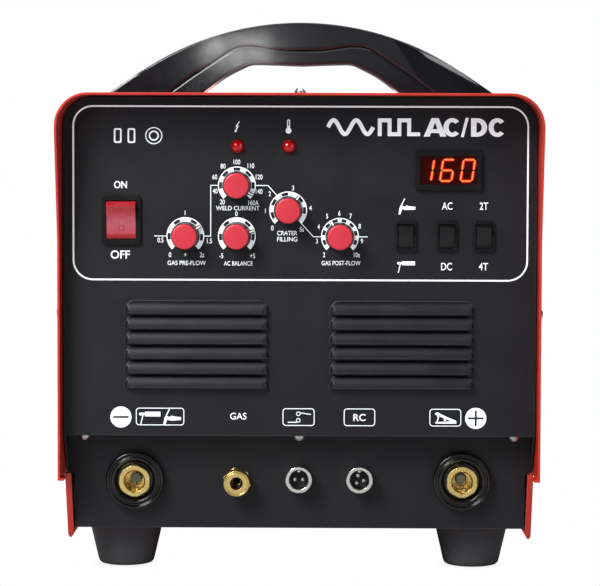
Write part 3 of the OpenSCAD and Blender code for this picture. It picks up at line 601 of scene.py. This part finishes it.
def curve_mesh(curve, depth):
    """Turns a flat curve into a mesh depth thick, and removes the curve."""
    curve.extrude = depth / 2
    obj = bpy.data.objects.new("tmp", curve)
    SCENE.collection.objects.link(obj)
    bpy.context.view_layer.update()
    evaluated = obj.evaluated_get(bpy.context.evaluated_depsgraph_get())
    mesh = bpy.data.meshes.new_from_object(evaluated)
    bpy.data.objects.remove(obj)
    bpy.data.curves.remove(curve)
    return mesh


def outline_mesh(loops, scale=1.0, depth=0.00004):
    """Fills closed loops in the X-Y plane; a loop inside another is a hole."""
    curve = bpy.data.curves.new("fig", "CURVE")
    curve.dimensions = "2D"
    curve.fill_mode = "BOTH"
    for loop in loops:
        spline = curve.splines.new("POLY")
        spline.points.add(len(loop) - 1)
        spline.use_cyclic_u = True
        for point, (x, y) in zip(spline.points, loop):
            point.co = (x * scale, y * scale, 0, 1)
    return curve_mesh(curve, depth)


def surface_tree(piece):
    """Ray-casting tree of a CAD piece."""
    mesh = NODES[piece].data
    return BVHTree.FromPolygons([v.co.copy() for v in mesh.vertices],
                                [list(p.vertices) for p in mesh.polygons])


def lathe(profile, x, z, segments=96):
    """Revolves (radius, y) points round a Y axis through x, z."""
    bm = bmesh.new()
    angles = [2 * math.pi * i / segments for i in range(segments)]
    rings = [[bm.verts.new((x + radius * math.cos(t), y, z + radius * math.sin(t)))
              for t in angles] for radius, y in profile]
    for a, b in zip(rings, rings[1:]):
        for i in range(segments):
            j = (i + 1) % segments
            bm.faces.new([a[i], b[i], b[j], a[j]])
    bmesh.ops.recalc_face_normals(bm, faces=bm.faces[:])
    mesh = bpy.data.meshes.new("lathe")
    bm.to_mesh(mesh)
    bm.free()
    for polygon in mesh.polygons:
        polygon.use_smooth = True
    return mesh


def round_corners(profile, radius, steps=4):
    """Rounds every corner of a profile but its two ends."""
    points = [profile[0]]
    for before, corner, after in zip(profile, profile[1:], profile[2:]):
        corner = Vector(corner)
        back, ahead = Vector(before) - corner, Vector(after) - corner
        cut = min(radius, back.length * 0.48, ahead.length * 0.48)
        start = corner + back.normalized() * cut
        end = corner + ahead.normalized() * cut
        for i in range(steps + 1):
            t = i / steps
            p = start * (1 - t) ** 2 + corner * 2 * t * (1 - t) + end * t * t
            points.append((p.x, p.y))
    points.append(profile[-1])
    return points


# ------------------------------------------------------------------ print layers
LAYER = 0.00006   # spacing of print layers
LIFT = 0.00001    # keeps overlapping figures of one layer apart
KNOB_GAP = 0.0008  # knobs stand this far off the panel
panel_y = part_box("knob_current")[1].y + KNOB_GAP
module_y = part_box("display_module")[0].y
LAYER_Y = {"white": panel_y - LAYER, "dark": panel_y - 2 * LAYER,
           "halo": module_y - LAYER, "lit": module_y - 2 * LAYER,
           "unlit": module_y - 2 * LAYER, "core": module_y - 3 * LAYER}
prints = {layer: [] for layer in LAYER_Y}


def place(layer, mesh, x, z, lift=0.0):
    """Stands an X-Y figure on a layer, facing -Y, with its origin at x, z."""
    mesh.transform(Matrix.Translation((x, LAYER_Y[layer] - lift, z)) @ STAND_UP)
    prints[layer].append(mesh)


def figure(layer, loops, x=0, z=0, scale=1.0, lift=0.0):
    place(layer, outline_mesh(loops, scale), x, z, lift)


def label(words, x, z, height, bold, width=None):
    """White text with capitals height high, centred on x and stretched to width if given."""
    curve = bpy.data.curves.new("txt", "FONT")
    curve.body = words
    curve.size = height / 0.7
    curve.align_x = curve.align_y = "CENTER"
    curve.offset = bold
    curve.resolution_u = 4
    mesh = curve_mesh(curve, depth=0.00004)
    xs = [v.co.x for v in mesh.vertices]
    stretch = width / (max(xs) - min(xs)) if width else 0.76
    mesh.transform(Matrix.Diagonal((stretch, 1, 1, 1)))
    xs = [v.co.x for v in mesh.vertices]
    mesh.transform(Matrix.Translation((-(max(xs) + min(xs)) / 2, 0, 0)))
    place("white", mesh, x, z)


def join_layer(layer, name, material):
    """Makes one object of all figures on a layer."""
    bm = bmesh.new()
    for part in prints[layer]:
        bm.from_mesh(part)
        bpy.data.meshes.remove(part)
    bmesh.ops.remove_doubles(bm, verts=bm.verts[:], dist=1e-7)
    mesh = bpy.data.meshes.new(name)
    bm.to_mesh(mesh)
    bm.free()
    add_object(name, mesh, material, "housing")


# ------------------------------------------------------------------ panel print
LINE = 0.00055
panel_low, panel_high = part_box("front_panel")
dial_middle = {dial: middle("cap_" + dial) for dial in DIALS}
power_switch = middle("power_switch_frame")
process, polarity, trigger = [middle(n + "_rocker") for n in ("process", "polarity", "trigger")]
mode_z = middle("mode_switch_frames").z
mode_top, mode_bottom = mode_z + 0.0199, mode_z - 0.0204

# icon outlines, about 2 units wide or high
TORCH_HANDLE = [(-0.62, 0.20), (-0.30, 0.02), (-0.05, 0.20), (0.22, 0.10), (1.0, 0.02),
                (1.0, -0.30), (0.2, -0.36), (-0.30, -0.34), (-0.68, -0.20)]
TORCH_NOZZLE = [(-0.20, 1.0), (-0.32, 1.0), (-0.86, -0.06), (-1.0, -0.86), (-0.80, -0.94),
                (-0.58, -0.34), (-0.60, 0.14)]
LIGHTNING = [(0.35, 1.0), (-0.30, 0.05), (-0.02, 0.05), (-0.30, -0.62), (-0.42, -0.50),
             (-0.36, -1.0), (0.06, -0.72), (-0.10, -0.66), (0.36, 0.24), (0.06, 0.24),
             (0.52, 1.0)]


def torch_icon(x, z, scale):
    """Hand torch: tapered handle to the right, nozzle crossing it down to the left."""
    figure("white", [TORCH_HANDLE], x, z, scale)
    figure("white", [TORCH_NOZZLE], x, z, scale, lift=LIFT)


def electrode_icon(x, z, scale):
    """Electrode holder with its rod hanging down at the left."""
    handle = rounded_rect(1.46, 0.44, 0.03, 3, x=0.27, y=0.20)
    head = rounded_rect(0.52, 0.26, 0.12, 4, x=-0.74, y=0.20)
    slot = rounded_rect(0.26, 0.07, 0.03, 3, x=-0.72, y=0.20)
    rod = stroke([(-0.64, 0.06), (-0.86, -0.86)], 0.10)
    for loops in ([handle], [head, slot], [rod]):
        figure("white", loops, x, z, scale)


def print_dials():
    """Pale bands with dark windows, numbers and captions."""
    for dial, design in DIALS.items():
        at = dial_middle[dial]
        figure("white", [sector(0.0094, 0.0126, -135, 135, steps=72)], at.x, at.z)
        half = design["half_window"]
        for angle in design["windows"]:
            window = sector(0.0099, 0.0119, angle - half, angle + half, steps=6)
            figure("dark", [window], at.x, at.z)
        for words, x, z in design["numbers"]:
            label(words, at.x + x * MM, at.z + z * MM, height=0.0032, bold=0.00003)
    for words, dial, x, z, width in CAPTIONS:
        at = dial_middle[dial]
        label(words, at.x + x * MM, at.z + z * MM, height=0.0029, bold=0.00002,
              width=width * MM)


def print_sequence_line():
    """Line that ties the dials together in the order of a weld."""
    reach = 0.0124  # from a dial's middle to the end of the line
    pre, current, crater, post = [
        dial_middle[n] for n in ("pre_gas", "current", "crater", "post_gas")]
    riser_x = pre.x + 0.0169
    for points in (
        [(pre.x - 0.0207, pre.z), (pre.x - reach, pre.z)],
        [(pre.x + reach, pre.z), (riser_x, pre.z), (riser_x, current.z),
         (current.x - reach, current.z)],
        [(current.x + reach, current.z), (current.x + 0.0207, current.z),
         (crater.x - 0.0075, crater.z + 0.0099)],
        [(crater.x + 0.0080, crater.z - 0.0078), (post.x - 0.0177, post.z),
         (post.x - reach, post.z)],
        [(post.x + reach, post.z), (post.x + 0.0185, post.z)],
    ):
        figure("white", [stroke(points, LINE)])


def print_border():
    """Line round the controls."""
    left, right = -0.1514, 0.1521
    bottom, top = panel_high.z - 0.1222, panel_high.z - 0.0057
    border = rect_frame(right - left, top - bottom, line=0.0011, outer_radius=0.0136,
                        inner_radius=0.0125, steps=12)
    figure("white", border, (left + right) / 2, (bottom + top) / 2)


def print_switches():
    """Words and icons above and below the rockers."""
    x, z = power_switch.x, power_switch.z
    label("ON", x - 0.0006, z + 0.0232, height=0.0047, bold=0.0001, width=0.0086)
    label("OFF", x - 0.0008, z - 0.0234, height=0.0053, bold=0.0001, width=0.0128)
    for words, x, z, width in (("AC", polarity.x, mode_top, 0.0070),
                               ("DC", polarity.x - 0.0002, mode_bottom, 0.0072),
                               ("2T", trigger.x - 0.0003, mode_top, 0.0057),
                               ("4T", trigger.x - 0.0004, mode_bottom, 0.0062)):
        label(words, x, z, height=0.0049, bold=0.00004, width=width)
    torch_icon(process.x + 0.0004, mode_top - 0.0004, scale=0.0056)
    electrode_icon(process.x, mode_bottom + 0.0012, scale=0.0060)


def print_lamp_icons():
    """Lightning over the left lamp, a thermometer over the right one."""
    low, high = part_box("indicator_lamps")
    inset = 0.0049  # from the outer side of a lamp to its middle
    lamp_z = (low.z + high.z) / 2
    figure("white", [LIGHTNING], low.x + inset - 0.0004, lamp_z + 0.0129, scale=0.0037)
    x, z, scale = high.x - inset - 0.0003, lamp_z + 0.0136, 0.0046
    figure("white", [circle(0.42, 24, y=-0.66)], x, z, scale)
    figure("white", [rounded_rect(0.42, 1.5, 0.2, 6, y=0.22)], x, z, scale, lift=LIFT)
    figure("dark", [rounded_rect(0.16, 0.8, 0.07, 4, y=0.42)], x, z, scale, lift=2 * LIFT)


def print_title():
    """Sine wave, square wave and AC/DC along the top."""
    z = panel_high.z - 0.0198
    high = 0.0046
    low = -high
    sine = [(0.0186 + 0.030 * i / 64, high * math.sin(i / 64 * 4 * math.pi)) for i in range(65)]
    figure("white", [stroke(sine, 0.0027)], 0, z)

    square = [(0.0530, low), (0.0530, high), (0.0595, high), (0.0595, low), (0.0660, low),
              (0.0660, high), (0.0725, high), (0.0725, low), (0.0785, low)]
    line = 0.0026
    for (x0, z0), (x1, z1) in zip(square, square[1:]):
        bar = rounded_rect(abs(x1 - x0) + line, abs(z1 - z0) + line, 0.0004, 2)
        figure("white", [bar], (x0 + x1) / 2, z + (z0 + z1) / 2, lift=LIFT * (x0 == x1))

    # letters in mm, from their lower left corner
    letter_a = [[(0, 0), (4.0, 0), (4.9, 2.4), (10.1, 2.4), (11.0, 0), (15.0, 0), (9.9, 12.2),
                 (5.1, 12.2)],
                [(5.9, 4.9), (9.1, 4.9), (7.5, 9.6)]]
    letter_c = [arc(5.8, 6.1, 5.8, 6.2, 40, 320, 40) + arc(5.9, 6.1, 2.5, 3.5, 316, 44, 30)]
    letter_d = [[(0, 0), (0, 12.2)] + arc(4.2, 6.1, 6.5, 6.1, 90, -90),
                [(3.6, 2.7), (3.6, 9.5)] + arc(4.0, 6.1, 3.1, 3.4, 90, -90)]
    slash = [[(0, -0.3), (2.0, -0.3), (5.2, 12.5), (3.2, 12.5)]]
    for loops, x in ((letter_a, 0.0822), (letter_c, 0.0953), (slash, 0.1068),
                     (letter_d, 0.1136), (letter_c, 0.1252)):
        figure("white", loops, x, z - 0.0061, scale=MM)


def print_marks():
    """Two upright frames and a double ring at the upper left."""
    z = panel_high.z - 0.0258
    frame = [rounded_rect(0.0052, 0.0098, 0.0012, 5), rounded_rect(0.0030, 0.0076, 0.0006, 4)]
    for x in (-0.1212, -0.1121):
        figure("white", frame, x, z)
    figure("white", [circle(0.0057), circle(0.0050)], -0.0972, z)
    figure("white", [circle(0.0034, 40), circle(0.0024, 40)], -0.0972, z)


def clamp_icon(x, z):
    """Spring clamp: jaws closing to the right, handles to the left, a pivot."""
    upper = [(-0.0070, 0.0034), (-0.0052, 0.0040), (0.0010, 0.0008), (0.0072, -0.0016),
             (0.0074, -0.0026), (0.0060, -0.0030), (0.0000, -0.0004), (-0.0066, 0.0024)]
    lower = [(-0.0070, -0.0026), (-0.0064, -0.0036), (0.0074, -0.0036), (0.0074, -0.0024),
             (0.0052, -0.0020), (0.0010, -0.0022)]
    spring = stroke([(-0.0056, -0.0026), (-0.0046, 0.0004), (-0.0056, 0.0026)], 0.0008)
    figure("white", [upper], x, z)
    figure("white", [lower], x, z)
    figure("white", [spring], x, z, lift=LIFT)
    figure("white", [circle(0.0010, 16)], x - 0.0002, z - 0.0008, lift=2 * LIFT)


def print_socket_row():
    """Socket labels along the lower edge, from left to right."""
    z = panel_low.z + 0.0372

    def box(left, right):
        loops = rect_frame(right - left, 0.0118, line=LINE, outer_radius=0.0022,
                           inner_radius=0.0017, steps=6)
        figure("white", loops, (left + right) / 2, z + 0.0004)

    bar, thick = 0.0103, 0.0013  # of the minus and plus signs
    for x, plus in ((-0.1193, False), (0.1180, True)):
        figure("white", [circle(0.0071)], x, z)
        figure("dark", [rounded_rect(bar, thick, 0.0002, 3)], x, z)
        if plus:
            figure("dark", [rounded_rect(thick, bar, 0.0002, 3)], x, z, lift=LAYER / 2)

    box(-0.1093, -0.0769)
    electrode_icon(-0.1000, z + 0.0006, scale=0.0072)
    torch_icon(-0.0850, z - 0.0001, scale=0.0060)
    label("GAS", -0.0407, z + 0.0006, height=0.0044, bold=0.00006, width=0.0110)

    # two small rings, each with a line
    box(-0.0111, 0.0103)
    for ring_z in (z + 0.0026, z - 0.0018):
        figure("white", [circle(0.0015, 20), circle(0.0010, 20)], -0.0006, ring_z)
    for points in ([(0.0007, 0.0033), (0.0079, 0.0022)],
                   [(-0.0077, -0.0031), (-0.0014, -0.0031)]):
        figure("white", [stroke(points, 0.0006)], 0, z)

    box(0.0298, 0.0508)
    label("RC", 0.0403, z, height=0.0046, bold=0.00009, width=0.0082)
    box(0.0871, 0.1083)
    clamp_icon(0.0977, z)


print_dials()
print_sequence_line()
print_border()
print_switches()
print_lamp_icons()
print_title()
print_marks()
print_socket_row()
join_layer("white", "panel_print_white", "print_white")
join_layer("dark", "panel_print_dark", "print_black")


# ------------------------------------------------------------------ marks on knobs and rocker
def knob_pointer(dial):
    """White bar laid on the knob's nib."""
    angle = math.radians(DIALS[dial]["turn"])
    radius = 0.01055  # of the bar's middle
    knob_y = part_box("knob_" + dial)[0].y
    bar_y = knob_y + 0.0092
    at = dial_middle[dial]
    out = Vector((math.sin(angle), 0, math.cos(angle)))
    mesh = outline_mesh([rounded_rect(0.00085, 0.0031, 0.0002, 3)], depth=0.0001)
    mesh.transform(Matrix.Translation((at.x + out.x * radius, bar_y, at.z + out.z * radius))
                   @ Matrix.Rotation(angle, 4, "Y") @ STAND_UP)
    tree = surface_tree("knob_" + dial)
    for v in mesh.vertices:
        hit = tree.ray_cast(Vector((v.co.x, knob_y - 0.02, v.co.z)), Vector((0, 1, 0)))[0]
        if hit is not None:  # a vertex that misses the knob stays where it is
            thickness = 0.00004 if v.co.y < bar_y else 0
            v.co.y = hit.y - 0.00008 - thickness
    add_object("pointer_" + dial, mesh, "print_white", "dial_" + dial)


def rocker_mark(name, loops, z, scale):
    """Mark laid on the sloping face of the mains rocker."""
    mesh = outline_mesh(loops, scale, depth=0.00008)
    start = Vector((power_switch.x, -0.4, z))
    point, normal = surface_tree("power_rocker").ray_cast(start, Vector((0, 1, 0)))[:2]
    normal = normal if normal.y < 0 else -normal
    right = Vector((1, 0, 0))
    up = normal.cross(right).normalized()
    turn = Matrix((right, up, normal)).transposed().to_4x4()
    mesh.transform(Matrix.Translation(point + normal * 0.00003) @ turn)
    add_object(name, mesh, "rocker_mark", "switch_power")


for dial in DIALS:
    knob_pointer(dial)
ink("rocker_mark", srgb(150, 22, 34), rough=0.4)
rocker_mark("rocker_mark_on", [rounded_rect(0.10, 1.0, 0.04, 3)],
            power_switch.z + 0.0072, scale=0.0042)
rocker_mark("rocker_mark_off", [circle(0.5, 32), circle(0.40, 32)],
            power_switch.z - 0.0052, scale=0.0040)

# ------------------------------------------------------------------ gas outlet liner
# (radius, depth behind the outlet's front); the profile closes on itself
LINER_PROFILE = [
    (0.00433, 0.0007), (0.00405, 0.0006), (0.00395, 0.0010), (0.00395, 0.0078),
    (0.00300, 0.0082), (0.00255, 0.0088), (0.00255, 0.0098), (0.00433, 0.0098),
    (0.00433, 0.0007),
]


def gas_outlet_liner():
    """Dark liner in the outlet's bore, centred on the outlet's front rim."""
    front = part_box("gas_outlet")[0].y
    rim = [v.co for v in NODES["gas_outlet"].data.vertices if v.co.y < front + 0.0003]
    x = sum(v.x for v in rim) / len(rim)
    z = (max(v.z for v in rim) + min(v.z for v in rim)) / 2
    profile = [(radius, front + depth) for radius, depth in LINER_PROFILE]
    mesh = lathe(round_corners(profile, radius=0.00012), x, z)
    add_object("gas_outlet_liner", mesh, "liner_red_brown", "housing")


gas_outlet_liner()

# ------------------------------------------------------------------ display digits
DIGIT_HEIGHT, DIGIT_WIDTH = 0.0142, 0.0076
DIGIT_PITCH = 0.0136
DIGIT_SHIFT = -0.0007  # of the middle digit from the module's middle
DIGIT_SLANT = 0.15
SEGMENT = 0.0016       # stroke of a segment
# ends of each segment, in digit widths and heights
SEGMENTS = {
    "a": ((0.03, 1.0), (0.97, 1.0)), "b": ((1.0, 0.985), (1.0, 0.515)),
    "c": ((1.0, 0.485), (1.0, 0.015)), "d": ((0.03, 0.0), (0.97, 0.0)),
    "e": ((0.0, 0.015), (0.0, 0.485)), "f": ((0.0, 0.515), (0.0, 0.985)),
    "g": ((0.05, 0.5), (0.95, 0.5)),
}
LIT_SEGMENTS = ("bc", "acdefg", "abcdef")  # 1, 6, 0


def segment(name, thick):
    """Slanted bar with pointed ends."""
    start, end = [Vector((x * DIGIT_WIDTH, y * DIGIT_HEIGHT)) for x, y in SEGMENTS[name]]
    along = (end - start).normalized()
    side = Vector((-along.y, along.x)) * thick / 2
    tip = along * thick / 2
    points = [start, start + tip + side, end - tip + side,
              end, end - tip - side, start + tip - side]
    return [(p.x + (p.y - DIGIT_HEIGHT / 2) * DIGIT_SLANT, p.y) for p in points]


def display_digits():
    module = middle("display_module")
    z = module.z - DIGIT_HEIGHT / 2
    for place_index, lit in enumerate(LIT_SEGMENTS):
        shift = DIGIT_SHIFT + (place_index - 1) * DIGIT_PITCH
        x = module.x + shift - DIGIT_WIDTH / 2
        for name in SEGMENTS:
            if name in lit:
                for layer, widen in (("lit", 1.0), ("core", 0.6), ("halo", 1.7)):
                    figure(layer, [segment(name, SEGMENT * widen)], x, z)
            else:
                figure("unlit", [segment(name, SEGMENT)], x, z)
    join_layer("lit", "display_digits", "digit_glow")
    join_layer("core", "display_digit_cores", "digit_core")
    join_layer("halo", "display_digit_halos", "digit_halo")
    ink("digit_unlit", (0.045, 0.003, 0.003, 1), rough=0.4)
    join_layer("unlit", "display_digits_off", "digit_unlit")


display_digits()


# ------------------------------------------------------------------ stage, light, camera
def studio_floor():
    """Grey to the light, white to the camera, with a faint painted contact shadow."""
    m = Material("studio_floor")
    tone = m.remap(m.noise(scale=3), 0, 1)
    m.set(Base_Color=m.mix(tone, (0.40, 0.40, 0.41, 1), (0.44, 0.44, 0.45, 1)),
          Roughness=0.8, Specular_IOR_Level=0.1)
    # ambient occlusion darkens the white near contacts: painted contact shadow
    contact = m.add("ShaderNodeAmbientOcclusion", {"Distance": 0.006}, samples=8)
    openness = m.remap(contact.outputs["AO"], 0, 1, start=0.2, end=1.0)
    white = m.mix(openness, (0.86, 0.86, 0.865, 1), (1, 1, 1, 1))
    seen = m.add("ShaderNodeEmission", {"Color": white}).outputs[0]
    inputs = {"Fac": m.add("ShaderNodeLightPath").outputs["Is Camera Ray"],
              1: m.shader.outputs[0], 2: seen}
    m.surface(m.add("ShaderNodeMixShader", inputs).outputs[0])


def floor():
    studio_floor()
    half = 8
    z = CAD_BOX[0][2] - 0.0002
    mesh = bpy.data.meshes.new("floor")
    corners = [(-half, -half, z), (half, -half, z), (half, half, z), (-half, half, z)]
    mesh.from_pydata(corners, [], [(0, 1, 2, 3)])
    obj = bpy.data.objects.new("floor", mesh)
    SCENE.collection.objects.link(obj)
    mesh.materials.append(MATERIALS["studio_floor"])
    mesh.polygons[0].use_smooth = True


def studio_world():
    """White to the camera, dim blue-grey to everything else."""
    world = bpy.data.worlds.new("studio")
    SCENE.world = world
    world.use_nodes = True
    nodes = Nodes(world.node_tree)
    camera_ray = nodes.add("ShaderNodeLightPath").outputs["Is Camera Ray"]
    background = world.node_tree.nodes["Background"]
    nodes.feed(background.inputs["Color"],
               nodes.mix(camera_ray, (0.085, 0.087, 0.096, 1), (1.0, 1.0, 1.0, 1)))
    nodes.feed(background.inputs["Strength"], 1.0)


def area_light(name, place, target, size, watts):
    light = bpy.data.lights.new(name, "AREA")
    light.shape = "RECTANGLE"
    light.size, light.size_y = size
    light.energy = watts
    obj = bpy.data.objects.new(name, light)
    SCENE.collection.objects.link(obj)
    obj.location = place
    obj.rotation_mode = "QUATERNION"
    obj.rotation_quaternion = (Vector(target) - Vector(place)).to_track_quat("-Z", "Y")


def studio_camera():
    camera = bpy.data.cameras.new("camera")
    camera.sensor_width = 36
    camera.lens = 155.74
    camera.clip_start, camera.clip_end = 0.05, 60
    obj = bpy.data.objects.new("camera", camera)
    SCENE.collection.objects.link(obj)
    obj.location = (0.01913, -1.94413, 0.29057)
    # pitch down from level, yaw to the right of +Y, roll about the view
    pitch, yaw, roll = [math.radians(a) for a in (3.3133, -0.6235, 0.1637)]
    forward = Vector((math.sin(yaw) * math.cos(pitch), math.cos(yaw) * math.cos(pitch),
                      -math.sin(pitch)))
    level = Vector((math.cos(yaw), -math.sin(yaw), 0))
    upright = level.cross(forward)
    right = level * math.cos(roll) + upright * math.sin(roll)
    up = upright * math.cos(roll) - level * math.sin(roll)
    turn = Matrix((right, up, -forward)).transposed().to_4x4()
    obj.matrix_world = Matrix.Translation(obj.location) @ turn
    SCENE.camera = obj


floor()
studio_world()
MACHINE = (0, -0.1, 0.18)
# name, place, target, (width, height), watts
for light in (
    ("key_left", (-1.15, -1.65, 1.65), MACHINE, (0.9, 0.9), 76),
    ("card_bright", (-0.115, -1.93, 0.425), (-0.055, -0.02, 0.355), (0.10, 0.045), 0.11),
    ("card_soft", (0.06, -1.96, 0.44), (0.02, -0.02, 0.355), (0.30, 0.10), 0.020),
    ("sheen_left", (-0.85, -1.9, 0.85), MACHINE, (0.5, 0.5), 5),
    ("fill_right", (1.9, -1.6, 0.7), MACHINE, (1.0, 1.4), 9),
    ("top", (0, 0.1, 1.9), (0, 0, 0.2), (1.6, 1.6), 26),
    ("back", (0.4, 2.0, 1.3), (0, 0.1, 0.2), (1.6, 1.2), 24),
):
    area_light(*light)
studio_camera()
SCENE.view_settings.view_transform = "Standard"
SCENE.view_settings.look = "None"
